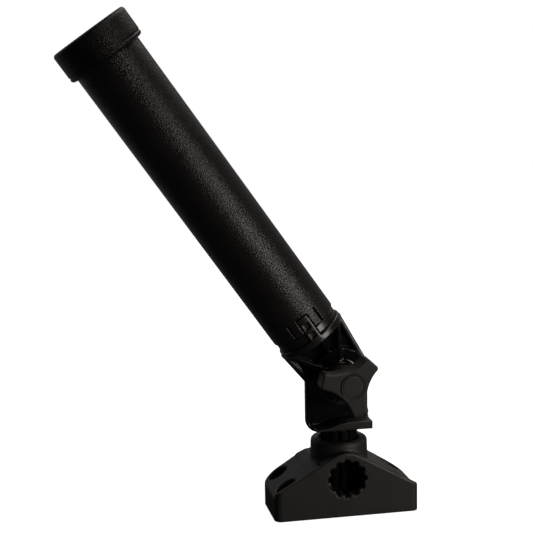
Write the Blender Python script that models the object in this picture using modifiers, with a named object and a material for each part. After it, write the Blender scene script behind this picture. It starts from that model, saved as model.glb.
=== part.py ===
"""Tube-style fishing rod holder on a deck mount, at its real size in metres, +Z up.

The origin is on the axis of the mount's upright post socket, at the mount's bottom face.
X runs along the mount, and -Y is the front, where the knob is. Every piece is at rest with
the tube leaning towards -X. A piece that turns has its origin, or its parent empty, on its axis.
"""

import math

import bmesh
import bpy
from mathutils import Matrix

# Fits
GAP = 0.0003
ROUND_STEPS = 48

# Deck mount
MOUNT_HALF_LENGTH = 0.0513
MOUNT_FRONT = -0.0255
MOUNT_REAR = 0.0245
MOUNT_END_HEIGHT = 0.0193
MOUNT_FRONT_CORNER = 0.0055
MOUNT_REAR_CORNER = 0.012
LIP_DEPTH = 0.0050
TRIM = 0.002
HUMP_RADIUS = 0.0185
SIDE_SOCKET_Z = 0.0271
SIDE_SOCKET_EASE = 0.0001
WING_TOP = ((0.0533, 0.0151), (0.0272, 0.0313), (0.0256, 0.0331), (0.0195, 0.0359), (0.0, 0.0385))
BARREL_RADIUS = 0.0178
COLLAR_RADIUS = 0.0202
COLLAR_TOP = 0.0509
COLLAR_MOUTH_RADIUS = 0.0150
SOCKET_FLOOR = 0.0035
DRAIN_Y, DRAIN_RADIUS = -0.0088, 0.0020
COLLAR_EDGE = 0.0026
CORE_DEPTH = 0.0100
CORE_NEAR, CORE_FAR, CORE_HALF_WIDTH = 0.0185, 0.0325, 0.0185

# Bolt holes through the mount
BOLT_X, BOLT_Y = 0.0413, 0.0143
BOLT_RADIUS = 0.0033
COUNTERBORE_RADIUS = 0.0066
COUNTERBORE_FLOOR = 0.0085

# Splines of the post and of both sockets
SPLINE_TEETH = 12
POST_TIP_RADIUS, POST_ROOT_RADIUS = 0.0133, 0.0117
SPLINE_FLANK = 0.30

# Post, from its foot to the bracket
POST_FOOT = 0.0042
POST_CORE_RADIUS = 0.0062
POST_CORE_TOP = 0.0556
RING_Z = 0.0100
RING_RADIUS = 0.0104
RING_THICKNESS = 0.0011

# Bracket
PIVOT_Z = 0.0966
PLATE_LEFT, PLATE_RIGHT = -0.0234, 0.0212
PLATE_BOTTOM = 0.0548
PLATE_FRONT, PLATE_REAR = -0.0010, 0.0046
PLATE_CORNER = 0.0090
PLATE_RIM = 0.0014
PLATE_DISH = 0.0012
LEDGE_BOTTOM, LEDGE_TOP, LEDGE_THIN = 0.0586, 0.0644, 0.0600
LEDGE_FRONT = -0.0140
LEDGE_THICK_FROM = 0.0050
LEDGE_LEFT = -0.0190
POST_FLANGE_RADIUS = 0.0150
POST_FLANGE_TOP = 0.0631
GUSSET_X, GUSSET_THICKNESS = 0.0085, 0.0028
GUSSET_TOP = 0.0806
REAR_BOSS_RADIUS = 0.0115
REAR_BOSS_Y = 0.0104
HEX_ACROSS_FLATS = 0.0127
HEX_POCKET_FLOOR = 0.0052

# Face gear between bracket and adapter: tooth height grows with the radius
GEAR_TEETH = 24
GEAR_INNER, GEAR_OUTER = 0.0085, 0.0172
GEAR_HEIGHT_PER_RADIUS = 0.105
GEAR_ROOT_Y = -0.0014

# Pivot bolt, spring and washer
BOLT_SHANK_RADIUS = 0.0039
BOLT_HEAD = (0.0055, 0.0104)
BOLT_TIP_Y = -0.0372
PIVOT_BORE_RADIUS = 0.0043
SPRING_RADIUS, SPRING_WIRE = 0.0060, 0.00055
SPRING_TURNS = 3.5
SPRING_SEAT_Y = 0.0012
SPRING_FRONT_Y = -0.0052
SPRING_POCKET_RADIUS = 0.0072
WASHER_RADIUS = 0.0100
WASHER_THICKNESS = 0.0010

# Tube adapter
TUBE_LEAN = math.radians(34.7)
TUBE_Y = -0.0090
PADDLE_REAR, PADDLE_FRONT = -0.0015, -0.0095
PADDLE_RADIUS = 0.0214
PADDLE_TAPER = math.radians(5.3)
PADDLE_FLANGE = 0.0036
POCKET_FLOOR = -0.0055
DISC_RADIUS = 0.0200
HUB_RADIUS = 0.0110
HUB_FRONT = -0.0135
RIB_ANGLE = math.radians(31.6)
RIB_HALF_WIDTH = 0.0016
COLLAR_START, COLLAR_GROOVE = 0.0355, 0.0404
TUBE_COLLAR_RADIUS = 0.0243
SPIGOT_RADIUS = 0.0202
SPIGOT_END = 0.0660
CUP_RADIUS = 0.0172
CUP_FLOOR = 0.0430
KEY_HALF_WIDTH = 0.0041
KEY_END = 0.0578
KEY_GAP_ANGLE = (KEY_HALF_WIDTH + GAP) / TUBE_COLLAR_RADIUS + 0.004
GUSSET_HALF_WIDTH = 0.0016
DRAIN_X, DRAIN_HOLE_RADIUS = 0.0110, 0.0020
GUSSET_OFFSET = 0.0022

# Tube, its lock ring and its soft rim
TUBE_RADIUS, TUBE_BORE_RADIUS = 0.0239, 0.0206
TUBE_START, TUBE_END = 0.0468, 0.2858
LOCK_RING_RADIUS = 0.0229
SLIT_ANGLE = math.radians(27.5)
SLIT_WIDTH = 0.0009
RIM_RADIUS = 0.0278
RIM_START, RIM_END = 0.2680, 0.2894
RIM_EDGE = 0.0022

# Knob
KNOB_LOBES = 3
KNOB_LOBE_ANGLE = math.radians(46.6)
KNOB_RADIUS = 0.0214
KNOB_WAIST = 0.0109
KNOB_LOBE_HALF_WIDTH = 0.0057
KNOB_LOBE_CORNER = 0.0022
KNOB_BACK, KNOB_FRONT = -0.0282, -0.0410
KNOB_SLEEVE_RADIUS = 0.0095
NUT_ACROSS_FLATS = 0.0110
NUT_Y = (-0.0378, -0.0305)
CAP_RADIUS = 0.0083
CAP_FRONT = -0.0418
CAP_SEAT = -0.0394

COLLECTION_NAME = "rod_holder"


# Scene and materials

def clear_scene():
    for obj in list(bpy.data.objects):
        bpy.data.objects.remove(obj, do_unlink=True)


def new_collection(name):
    collection = bpy.data.collections.new(name)
    bpy.context.scene.collection.children.link(collection)
    return collection


def material(name, colour, roughness, metallic=0.0):
    made = bpy.data.materials.new(name)
    made.use_nodes = True
    shader = made.node_tree.nodes["Principled BSDF"]
    shader.inputs["Base Color"].default_value = (*colour, 1.0)
    shader.inputs["Roughness"].default_value = roughness
    shader.inputs["Metallic"].default_value = metallic
    made.diffuse_color = (*colour, 1.0)
    return made


def add_object(name, mesh, collection, parent=None):
    obj = bpy.data.objects.new(name, mesh)
    collection.objects.link(obj)
    obj.parent = parent
    return obj


def add_frame(name, location, lean=0.0, parent=None):
    """An empty on a joint's axis, which carries the pieces of one moving body."""
    frame = bpy.data.objects.new(name, None)
    parts.objects.link(frame)
    frame.location = location
    frame.rotation_euler = (0.0, -lean, 0.0)
    frame.empty_display_size = 0.01
    frame.parent = parent
    return frame


def finish(obj, finish_material, sharp_angle=35):
    obj.data.materials.clear()
    obj.data.materials.append(finish_material)
    obj.data.shade_smooth()
    obj.data.set_sharp_from_angle(angle=math.radians(sharp_angle))
    return obj


# Outlines, as lists of points

def arc(centre, radius, start, end, steps):
    """Points along an arc, with its angles in radians."""
    return [
        (
            centre[0] + radius * math.cos(start + (end - start) * i / steps),
            centre[1] + radius * math.sin(start + (end - start) * i / steps),
        )
        for i in range(steps + 1)
    ]


def circle(radius, steps=ROUND_STEPS, centre=(0.0, 0.0)):
    return arc(centre, radius, 0.0, 2 * math.pi, steps)[:-1]


def box_outline(x_low, x_high, y_low, y_high):
    return [(x_low, y_low), (x_high, y_low), (x_high, y_high), (x_low, y_high)]


def rounded_box(x_low, x_high, y_low, y_high, low_corner, high_corner, steps=6):
    """A rectangle with one corner radius along its low side and another along its high side."""
    quarter = math.pi / 2
    a, b = low_corner, high_corner
    return (
        arc((x_low + a, y_low + a), a, 2 * quarter, 3 * quarter, steps)
        + arc((x_high - a, y_low + a), a, 3 * quarter, 4 * quarter, steps)
        + arc((x_high - b, y_high - b), b, 0, quarter, steps)
        + arc((x_low + b, y_high - b), b, quarter, 2 * quarter, steps)
    )


def hexagon(across_flats):
    return circle(across_flats / math.sqrt(3), 6)


def mirrored(right_half):
    """An outline from its right half, listed from bottom to top."""
    return right_half + [(-x, z) for x, z in reversed(right_half) if x > 0]


def spline_outline(tip, root):
    """Twelve teeth with sloping flanks, the first tooth centred on +X."""
    pitch = 2 * math.pi / SPLINE_TEETH
    points = []
    for tooth in range(SPLINE_TEETH):
        for share, radius in ((-0.5 + SPLINE_FLANK / 2, root), (-0.5 + SPLINE_FLANK, tip)):
            points.append((share, radius, tooth))
        for share, radius in ((0.0, tip), (0.5 - SPLINE_FLANK, tip), (0.5 - SPLINE_FLANK / 2, root)):
            points.append((share, radius, tooth))
    return [
        (radius * math.cos((tooth + share) * pitch), radius * math.sin((tooth + share) * pitch))
        for share, radius, tooth in points
    ]


# Solids

def weld_and_face_out(mesh):
    shape = bmesh.new()
    shape.from_mesh(mesh)
    bmesh.ops.remove_doubles(shape, verts=shape.verts, dist=1e-6)
    bmesh.ops.recalc_face_normals(shape, faces=shape.faces)
    shape.to_mesh(mesh)
    shape.free()


def prism(name, outline, low, high, along, collection, parent=None):
    """A flat outline extruded from low to high. Along Z it is (x, y), along Y (x, z), along X (y, z)."""
    low, high = sorted((low, high))
    curve = bpy.data.curves.new(name, "CURVE")
    curve.dimensions = "2D"
    curve.fill_mode = "BOTH"
    curve.extrude = (high - low) / 2
    spline = curve.splines.new("POLY")
    spline.points.add(len(outline) - 1)
    for point, (x, y) in zip(spline.points, outline):
        point.co = (x, y, 0.0, 1.0)
    spline.use_cyclic_u = True
    guide = bpy.data.objects.new(name + "_outline", curve)
    collection.objects.link(guide)
    graph = bpy.context.evaluated_depsgraph_get()
    mesh = bpy.data.meshes.new_from_object(guide.evaluated_get(graph))
    bpy.data.objects.remove(guide, do_unlink=True)
    middle = (high + low) / 2
    turn = {
        "Z": Matrix.Translation((0, 0, middle)),
        "Y": Matrix.Translation((0, middle, 0)) @ Matrix.Rotation(math.pi / 2, 4, "X"),
        "X": Matrix.Translation((middle, 0, 0)) @ Matrix(
            ((0, 0, 1, 0), (1, 0, 0, 0), (0, 1, 0, 0), (0, 0, 0, 1))
        ),
    }
    mesh.transform(turn[along])
    weld_and_face_out(mesh)
    return add_object(name, mesh, collection, parent)


def turned(name, profile, collection, parent=None, along="Z", steps=ROUND_STEPS):
    """A closed profile of (radius, height) turned about Z, or about the pivot's axis with height as y."""
    mesh = bpy.data.meshes.new(name)
    edges = [(i, (i + 1) % len(profile)) for i in range(len(profile))]
    mesh.from_pydata([(radius, 0.0, height) for radius, height in profile], edges, [])
    obj = add_object(name, mesh, collection, parent)
    screw = obj.modifiers.new("turn", "SCREW")
    screw.axis = "Z"
    screw.steps = steps
    screw.render_steps = steps
    screw.use_merge_vertices = True
    screw.merge_threshold = 0.000001
    graph = bpy.context.evaluated_depsgraph_get()
    solid = bpy.data.meshes.new_from_object(obj.evaluated_get(graph))
    obj.modifiers.clear()
    obj.data = solid
    if along == "Y":
        solid.transform(Matrix.Rotation(-math.pi / 2, 4, "X"))
    weld_and_face_out(solid)
    return obj


def ring_profile(inner, outer, low, high, edge=0.0, edge_steps=2):
    """A rectangular section with its two outer corners rounded, running down its outer side."""
    if not edge:
        return [(inner, high), (outer, high), (outer, low), (inner, low)]
    quarter = math.pi / 2
    top = [(x, z) for x, z in reversed(arc((outer - edge, high - edge), edge, 0, quarter, edge_steps))]
    bottom = [(x, z) for x, z in reversed(arc((outer - edge, low + edge), edge, -quarter, 0, edge_steps))]
    return [(inner, high)] + top + bottom + [(inner, low)]


def rod_profile(radius, low, high, edge=0.0):
    """The section of a solid cylinder: its axis is one side of the profile."""
    return ring_profile(0.0, radius, low, high, edge)


def stepped_bore(radius, end, step, wide_radius, wide_end):
    """The section of a bore that widens at a step."""
    return [(0.0, end), (radius, end), (radius, step), (wide_radius, step), (wide_radius, wide_end), (0.0, wide_end)]


def combine(obj, other, operation):
    """Cuts, joins or intersects obj with other, which is kept only as a helper."""
    boolean = obj.modifiers.new(operation.lower() + "_" + other.name, "BOOLEAN")
    boolean.operation = operation
    boolean.solver = "EXACT"
    boolean.object = other
    other.hide_render = True
    other.display_type = "WIRE"


def cut(obj, *others):
    for other in others:
        combine(obj, other, "DIFFERENCE")


def join(obj, *others):
    for other in others:
        combine(obj, other, "UNION")


# Deck mount

def mount_front_outline():
    """Two slopes that meet a round hump over the side socket, with spare length for the plan to trim."""
    x, z = MOUNT_HALF_LENGTH, MOUNT_END_HEIGHT - SIDE_SOCKET_Z
    start = math.atan2(z, x) + math.acos(HUMP_RADIUS / math.hypot(x, z))
    hump = arc((0.0, SIDE_SOCKET_Z), HUMP_RADIUS, start, math.pi - start, 14)
    past_end = MOUNT_END_HEIGHT - TRIM / math.tan(start)
    right = [(x + TRIM, -TRIM), (x + TRIM, past_end)]
    return right + hump + [(-x, z) for x, z in reversed(right)]


def bolt_hole_cutters():
    """A through hole with a flat seat for the bolt's head, at each corner."""
    below, above = -0.01, 0.05
    section = [
        (0.0, above), (COUNTERBORE_RADIUS, above), (COUNTERBORE_RADIUS, COUNTERBORE_FLOOR),
        (BOLT_RADIUS, COUNTERBORE_FLOOR), (BOLT_RADIUS, below), (0.0, below),
    ]
    for x in (-BOLT_X, BOLT_X):
        for y in (-BOLT_Y, BOLT_Y):
            cutter = turned("bolt_hole", section, tools, steps=24)
            cutter.location = (x, y, 0.0)
            yield cutter


def make_mount():
    lip_rear = MOUNT_FRONT + LIP_DEPTH
    body = prism("mount_base", mount_front_outline(), MOUNT_FRONT - TRIM, lip_rear, "Y", parts)
    wings = mirrored([(MOUNT_HALF_LENGTH + TRIM, -TRIM), *WING_TOP])
    join(body, prism("wings", wings, lip_rear - 0.001, MOUNT_REAR + TRIM, "Y", tools))
    plan = rounded_box(
        -MOUNT_HALF_LENGTH, MOUNT_HALF_LENGTH, MOUNT_FRONT, MOUNT_REAR, MOUNT_FRONT_CORNER, MOUNT_REAR_CORNER
    )
    combine(body, prism("plan", plan, 0.0, 0.06, "Z", tools), "INTERSECT")
    join(body, turned("collar", rod_profile(COLLAR_RADIUS, 0.012, COLLAR_TOP, COLLAR_EDGE), tools))
    barrel = circle(BARREL_RADIUS, centre=(0.0, SIDE_SOCKET_Z))
    join(body, prism("barrel", barrel, lip_rear - 0.002, MOUNT_REAR - 0.001, "Y", tools))
    for side_sign in (-1, 1):
        near, far = sorted((side_sign * CORE_NEAR, side_sign * CORE_FAR))
        core = box_outline(near, far, -CORE_HALF_WIDTH, CORE_HALF_WIDTH)
        cut(body, prism("core_pocket", core, -0.01, CORE_DEPTH, "Z", tools))
    groove, tooth = POST_TIP_RADIUS + GAP, POST_ROOT_RADIUS + GAP
    cut(body, prism("post_socket", spline_outline(groove, tooth), SOCKET_FLOOR, 0.07, "Z", tools))
    mouth = [(0.0, 0.06), (COLLAR_MOUTH_RADIUS + 0.001, 0.06), (COLLAR_MOUTH_RADIUS + 0.001, COLLAR_TOP)]
    mouth += [(groove - 0.0002, COLLAR_TOP - 0.0022), (0.0, COLLAR_TOP - 0.0022)]
    cut(body, turned("socket_mouth", mouth, tools))
    side = spline_outline(groove + SIDE_SOCKET_EASE, tooth + SIDE_SOCKET_EASE)
    side = [(x, z + SIDE_SOCKET_Z) for x, z in side]
    cut(body, prism("side_socket", side, MOUNT_FRONT - 0.01, MOUNT_REAR + 0.01, "Y", tools))
    drain = turned("drain", rod_profile(DRAIN_RADIUS, -0.01, 0.01), tools, steps=18)
    drain.location.y = DRAIN_Y
    cut(body, drain)
    cut(body, *bolt_hole_cutters())
    return finish(body, black_moulding)


# Post and bracket

def plate_outline(inset=0.0):
    """A plate with a round top about the pivot and a rounded lower left corner."""
    left, right = PLATE_LEFT + inset, PLATE_RIGHT - inset
    corner = PLATE_CORNER - inset
    low = PLATE_BOTTOM + inset
    top = arc(((left + right) / 2, PIVOT_Z), (right - left) / 2, 0.0, math.pi, 24)
    lower_left = arc((left + corner, low + corner), corner, math.pi, 1.5 * math.pi, 6)
    return top + lower_left + [(right, low)]


def ledge_outline():
    """The shelf seen from the front: thick on the right, its top sinking towards the left corner."""
    steps = 8
    top = []
    for i in range(steps + 1):
        share = i / steps
        ease = (1 - math.cos(math.pi * share)) / 2
        x = LEDGE_THICK_FROM + (LEDGE_LEFT - LEDGE_THICK_FROM) * share
        top.append((x, LEDGE_TOP + (LEDGE_THIN - LEDGE_TOP) * ease))
    return [(LEDGE_LEFT, LEDGE_BOTTOM), (PLATE_RIGHT, LEDGE_BOTTOM), (PLATE_RIGHT, LEDGE_TOP)] + top


def rear_flange_outline():
    """The half disc behind the plate that carries the back of the post."""
    low = PLATE_REAR - 0.001
    start = math.asin(low / POST_FLANGE_RADIUS)
    return arc((0.0, 0.0), POST_FLANGE_RADIUS, start, math.pi - start, 16)


def face_gear(name, back, reference, inner, outer, collection, parent):
    """A ring whose face at reference has radial teeth: every second line of vertices is moved to -Y."""
    profile = ring_profile(inner, outer, min(back, reference), max(back, reference))
    ring = turned(name, profile, collection, parent, "Y", 2 * GEAR_TEETH)
    for vertex in ring.data.vertices:
        x, y, z = vertex.co
        line = round(math.atan2(z, x) / (math.pi / GEAR_TEETH))
        if abs(y - reference) < 1e-6 and line % 2 == 0:
            vertex.co.y = reference - GEAR_HEIGHT_PER_RADIUS * math.hypot(x, z)
    return ring


def make_post(frame):
    post = prism(
        "post", spline_outline(POST_TIP_RADIUS, POST_ROOT_RADIUS), POST_FOOT, LEDGE_BOTTOM + 0.001, "Z", tools, frame
    )
    groove_half = RING_THICKNESS + GAP
    groove = ring_profile(
        RING_RADIUS - groove_half, POST_TIP_RADIUS + 0.002, RING_Z - groove_half, RING_Z + groove_half
    )
    cut(post, turned("ring_groove", groove, tools, frame))
    return post


def make_bracket(frame, pivot):
    body = prism("post_bracket", plate_outline(), PLATE_FRONT, PLATE_REAR, "Y", parts, frame)
    cut(body, prism("dish", plate_outline(PLATE_RIM), -0.01, PLATE_FRONT + PLATE_DISH, "Y", tools, frame))
    join(body, prism("ledge", ledge_outline(), LEDGE_FRONT, PLATE_FRONT + 0.003, "Y", tools, frame))
    join(
        body,
        prism("rear_flange", rear_flange_outline(), LEDGE_BOTTOM, POST_FLANGE_TOP, "Z", tools, frame),
        make_post(frame),
    )
    rib = [(PLATE_REAR - 0.001, GUSSET_TOP), (PLATE_REAR - 0.001, LEDGE_BOTTOM + 0.002)]
    rib += [(POST_FLANGE_RADIUS - 0.004, LEDGE_BOTTOM + 0.002), (POST_FLANGE_RADIUS - 0.004, POST_FLANGE_TOP)]
    for x in (-GUSSET_X, GUSSET_X):
        low, high = x - GUSSET_THICKNESS / 2, x + GUSSET_THICKNESS / 2
        join(body, prism("rear_rib", rib, low, high, "X", tools, frame))
    boss = rod_profile(REAR_BOSS_RADIUS, PLATE_REAR - 0.002, REAR_BOSS_Y, 0.001)
    join(body, turned("rear_boss", boss, tools, pivot, "Y"))
    gear_back = PLATE_FRONT + PLATE_DISH + 0.001
    join(body, face_gear("bracket_gear", gear_back, GEAR_ROOT_Y, GEAR_INNER, GEAR_OUTER, tools, pivot))
    hex_pocket = hexagon(HEX_ACROSS_FLATS + 2 * GAP)
    cut(body, prism("hex_pocket", hex_pocket, HEX_POCKET_FLOOR, 0.02, "Y", tools, pivot))
    bore = stepped_bore(PIVOT_BORE_RADIUS, 0.02, SPRING_SEAT_Y, SPRING_POCKET_RADIUS, -0.01)
    cut(body, turned("bolt_bore", bore, tools, pivot, "Y", 32))
    cut(body, turned("post_core", rod_profile(POST_CORE_RADIUS, -0.01, POST_CORE_TOP), tools, frame, steps=24))
    return finish(body, gloss_moulding)


def make_post_ring(frame):
    section = [
        (RING_RADIUS + x, RING_Z + z) for x, z in reversed(circle(RING_THICKNESS, 10))
    ]
    return finish(turned("post_ring", section, parts, frame, steps=36), rubber, 60)


# Pivot hardware

def make_bolt(pivot):
    head = prism("pivot_bolt", hexagon(HEX_ACROSS_FLATS), *BOLT_HEAD, "Y", parts, pivot)
    bevel = head.modifiers.new("worn_edges", "BEVEL")
    bevel.width = 0.0004
    bevel.segments = 1
    bevel.limit_method = "ANGLE"
    shank = rod_profile(BOLT_SHANK_RADIUS, BOLT_TIP_Y, BOLT_HEAD[0] + 0.001)
    join(head, turned("shank", shank, tools, pivot, "Y", 24))
    return finish(head, steel)


def make_spring(pivot):
    """A short coil, held compressed between the bracket and the adapter."""
    curve = bpy.data.curves.new("gear_spring", "CURVE")
    curve.dimensions = "3D"
    curve.bevel_depth = SPRING_WIRE
    curve.bevel_resolution = 1
    curve.use_fill_caps = True
    count = int(SPRING_TURNS * 16)
    spline = curve.splines.new("POLY")
    spline.points.add(count)
    back, front = SPRING_SEAT_Y - GAP - SPRING_WIRE, SPRING_FRONT_Y + SPRING_WIRE
    for i, point in enumerate(spline.points):
        angle = 2 * math.pi * SPRING_TURNS * i / count
        y = back + (front - back) * i / count
        point.co = (SPRING_RADIUS * math.cos(angle), y, SPRING_RADIUS * math.sin(angle), 1.0)
    curve.materials.append(steel)
    return add_object("gear_spring", curve, parts, pivot)


def make_washer(pivot):
    rear = HUB_FRONT - GAP
    section = ring_profile(PIVOT_BORE_RADIUS, WASHER_RADIUS, rear - WASHER_THICKNESS, rear)
    return finish(turned("thrust_washer", section, parts, pivot, "Y"), nylon)


# Tube adapter

def paddle_outline(inset=0.0):
    """A round end about the pivot whose sides widen towards the tube's collar."""
    radius, top = PADDLE_RADIUS - inset, COLLAR_START + 0.001
    half_top = radius / math.cos(PADDLE_TAPER) + top * math.tan(PADDLE_TAPER)
    end = arc((0.0, 0.0), radius, -PADDLE_TAPER, -math.pi + PADDLE_TAPER, 24)
    return [(half_top, top)] + end + [(-half_top, top)]


def radial_bar(angle, start, end, half_width):
    """A bar along a line from the pivot, at an angle from the tube's axis."""
    along = (math.sin(angle), math.cos(angle))
    across = (math.cos(angle), -math.sin(angle))
    corners = ((start, -half_width), (start, half_width), (end, half_width), (end, -half_width))
    return [(r * along[0] + w * across[0], r * along[1] + w * across[1]) for r, w in corners]


def sector(inner, outer, middle, half_angle, steps=6):
    """Part of a ring about the tube's axis, with its angle measured from the front."""
    start, end = middle - math.pi / 2 - half_angle, middle - math.pi / 2 + half_angle
    return arc((0, 0), outer, start, end, steps) + arc((0, 0), inner, end, start, steps)


def key_sector(extra=0.0):
    half_angle = (KEY_HALF_WIDTH + extra) / TUBE_COLLAR_RADIUS
    return sector(SPIGOT_RADIUS - 0.002, TUBE_COLLAR_RADIUS, 0.0, half_angle)


def make_adapter(tilt, tube_axis, phase):
    body = prism("tube_adapter", paddle_outline(), PADDLE_REAR, PADDLE_FRONT, "Y", parts, tilt)
    pocket = prism("pocket", paddle_outline(PADDLE_FLANGE), -0.02, POCKET_FLOOR, "Y", tools, tilt)
    cut(pocket, turned("disc_keeper", rod_profile(DISC_RADIUS, -0.03, 0.01), tools, tilt, "Y"))
    cut(body, pocket)
    for side in (-1, 1):
        bar = radial_bar(side * RIB_ANGLE, HUB_RADIUS - 0.002, COLLAR_START + 0.004, RIB_HALF_WIDTH)
        join(body, prism("web_rib", bar, PADDLE_FRONT - 0.001, POCKET_FLOOR + 0.001, "Y", tools, tilt))
    collar = [
        (CUP_RADIUS, SPIGOT_END), (SPIGOT_RADIUS, SPIGOT_END), (SPIGOT_RADIUS, COLLAR_GROOVE),
        (TUBE_COLLAR_RADIUS, COLLAR_GROOVE), (TUBE_COLLAR_RADIUS, COLLAR_START), (0.0, COLLAR_START),
        (0.0, CUP_FLOOR), (CUP_RADIUS, CUP_FLOOR),
    ]
    join(body, turned("collar_cup", collar, tools, tube_axis, steps=64))
    key = prism("key", key_sector(), COLLAR_GROOVE - 0.002, KEY_END, "Z", tools, tube_axis)
    join(body, key)
    front = TUBE_Y - TUBE_COLLAR_RADIUS
    brace = [(PADDLE_FRONT + 0.002, DISC_RADIUS - 0.001), (PADDLE_FRONT + 0.002, COLLAR_START + 0.001)]
    brace += [(front + 0.003, COLLAR_START + 0.001), (PADDLE_FRONT - 0.003, DISC_RADIUS - 0.001)]
    low, high = GUSSET_OFFSET - GUSSET_HALF_WIDTH, GUSSET_OFFSET + GUSSET_HALF_WIDTH
    join(body, prism("front_brace", brace, low, high, "X", tools, tilt))
    hub = rod_profile(HUB_RADIUS, HUB_FRONT, PADDLE_FRONT + 0.002)
    join(body, turned("hub", hub, tools, tilt, "Y"))
    gear = (0.005, GEAR_ROOT_Y - GAP, GEAR_INNER - GAP, GEAR_OUTER + GAP)
    cut(body, face_gear("adapter_gear", *gear, tools, phase))
    bore = stepped_bore(PIVOT_BORE_RADIUS, -0.03, SPRING_FRONT_Y - GAP, SPRING_POCKET_RADIUS, 0.01)
    cut(body, turned("adapter_bore", bore, tools, tilt, "Y", 32))
    for x in (-DRAIN_X, DRAIN_X):
        hole = circle(DRAIN_HOLE_RADIUS, 16, (x, -DRAIN_X))
        cut(body, prism("cup_drain", hole, COLLAR_START - 0.005, CUP_FLOOR + 0.005, "Z", tools, tube_axis))
    return finish(body, gloss_moulding)


def make_lock_ring(tube_axis):
    section = ring_profile(
        SPIGOT_RADIUS + GAP, LOCK_RING_RADIUS, COLLAR_GROOVE + GAP, TUBE_START - GAP
    )
    ring = turned("tube_lock_ring", section, parts, tube_axis, steps=64)
    gap = sector(SPIGOT_RADIUS - 0.004, TUBE_COLLAR_RADIUS + 0.004, 0.0, KEY_GAP_ANGLE)
    cut(ring, prism("ring_gap", gap, 0.03, 0.06, "Z", tools, tube_axis))
    return finish(ring, black_moulding)


# Tube

def make_tube(tube_axis):
    section = ring_profile(TUBE_BORE_RADIUS, TUBE_RADIUS, TUBE_START, TUBE_END)
    tube = turned("rod_tube", section, parts, tube_axis, steps=64)
    notch = sector(TUBE_BORE_RADIUS - 0.004, TUBE_RADIUS + 0.004, 0.0, KEY_GAP_ANGLE)
    cut(tube, prism("key_notch", notch, 0.04, KEY_END + GAP, "Z", tools, tube_axis))
    for side in (-1, 1):
        half_angle = SLIT_WIDTH / 2 / TUBE_RADIUS
        slit = sector(TUBE_BORE_RADIUS - 0.002, TUBE_RADIUS + 0.002, side * SLIT_ANGLE, half_angle, 1)
        cut(tube, prism("slit", slit, 0.04, KEY_END, "Z", tools, tube_axis))
    return finish(tube, pebbled_moulding)


def make_rim(tube_axis):
    seat, step = TUBE_RADIUS + GAP, TUBE_END + GAP
    outer = ring_profile(TUBE_BORE_RADIUS, RIM_RADIUS, RIM_START, RIM_END, RIM_EDGE, 4)[:-1]
    section = outer + [(seat, RIM_START), (seat, step), (TUBE_BORE_RADIUS, step)]
    return finish(turned("tube_rim", section, parts, tube_axis, steps=64), soft_rubber)


# Knob

def knob_outline():
    """Three lobes with round waists between them."""
    half_step = math.pi / KNOB_LOBES
    side_r = KNOB_RADIUS - KNOB_LOBE_CORNER - 0.001
    along, across = math.cos(half_step), math.sin(half_step)
    side = (side_r * along + KNOB_LOBE_HALF_WIDTH * across, side_r * across - KNOB_LOBE_HALF_WIDTH * along)
    distance = (side[0] ** 2 + side[1] ** 2 - KNOB_WAIST ** 2) / (2 * (side[0] - KNOB_WAIST))
    waist_radius = distance - KNOB_WAIST
    half_waist = math.atan2(side[1], distance - side[0])
    corner = KNOB_LOBE_CORNER
    centre = (KNOB_RADIUS - corner, KNOB_LOBE_HALF_WIDTH - corner)
    points = []
    for lobe in range(KNOB_LOBES):
        turn = KNOB_LOBE_ANGLE + lobe * 2 * half_step
        lower = arc((centre[0], -centre[1]), corner, -math.pi / 2, 0.0, 4)
        upper = arc(centre, corner, 0.0, math.pi / 2, 4)
        middle = turn + half_step
        hollow = arc((distance, 0.0), waist_radius, math.pi + half_waist, math.pi - half_waist, 10)
        points += rotated(lower + upper, turn)
        points += rotated(hollow, middle)
    return points


def rotated(points, angle):
    c, s = math.cos(angle), math.sin(angle)
    return [(x * c - y * s, x * s + y * c) for x, y in points]


def make_knob(frame):
    knob = prism("knob", knob_outline(), KNOB_FRONT, KNOB_BACK, "Y", parts, frame)
    bevel = knob.modifiers.new("soft_edges", "BEVEL")
    bevel.width = 0.0012
    bevel.segments = 2
    bevel.limit_method = "ANGLE"
    bevel.angle_limit = math.radians(50)
    rear = HUB_FRONT - 2 * GAP - WASHER_THICKNESS
    join(knob, turned("sleeve", rod_profile(KNOB_SLEEVE_RADIUS, KNOB_BACK - 0.003, rear), tools, frame, "Y"))
    cut(knob, turned("knob_bore", rod_profile(PIVOT_BORE_RADIUS, -0.06, 0.0), tools, frame, "Y", 32))
    pocket = hexagon(NUT_ACROSS_FLATS + 2 * GAP)
    cut(knob, prism("nut_pocket", pocket, -0.06, NUT_Y[1] + GAP, "Y", tools, frame))
    seat = rod_profile(CAP_RADIUS + GAP, -0.06, CAP_SEAT)
    cut(knob, turned("cap_seat", seat, tools, frame, "Y"))
    return finish(knob, grey_moulding)


def make_nut(frame):
    nut = prism("knob_nut", hexagon(NUT_ACROSS_FLATS), *NUT_Y, "Y", parts, frame)
    bore = rod_profile(BOLT_SHANK_RADIUS + GAP, -0.06, 0.0)
    cut(nut, turned("nut_bore", bore, tools, frame, "Y", 24))
    return finish(nut, brass)


def make_cap(frame):
    rear, plug = CAP_SEAT - GAP, NUT_ACROSS_FLATS / 2 - 0.0006
    section = [
        (0.0, NUT_Y[0] - GAP), (plug, NUT_Y[0] - GAP), (plug, rear), (CAP_RADIUS, rear),
        (CAP_RADIUS, CAP_FRONT + 0.0006), (CAP_RADIUS - 0.0006, CAP_FRONT), (0.0, CAP_FRONT),
    ]
    return finish(turned("knob_cap", section, parts, frame, "Y"), grey_moulding)


clear_scene()
parts = new_collection(COLLECTION_NAME)
tools = new_collection(COLLECTION_NAME + "_cutters")

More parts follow.
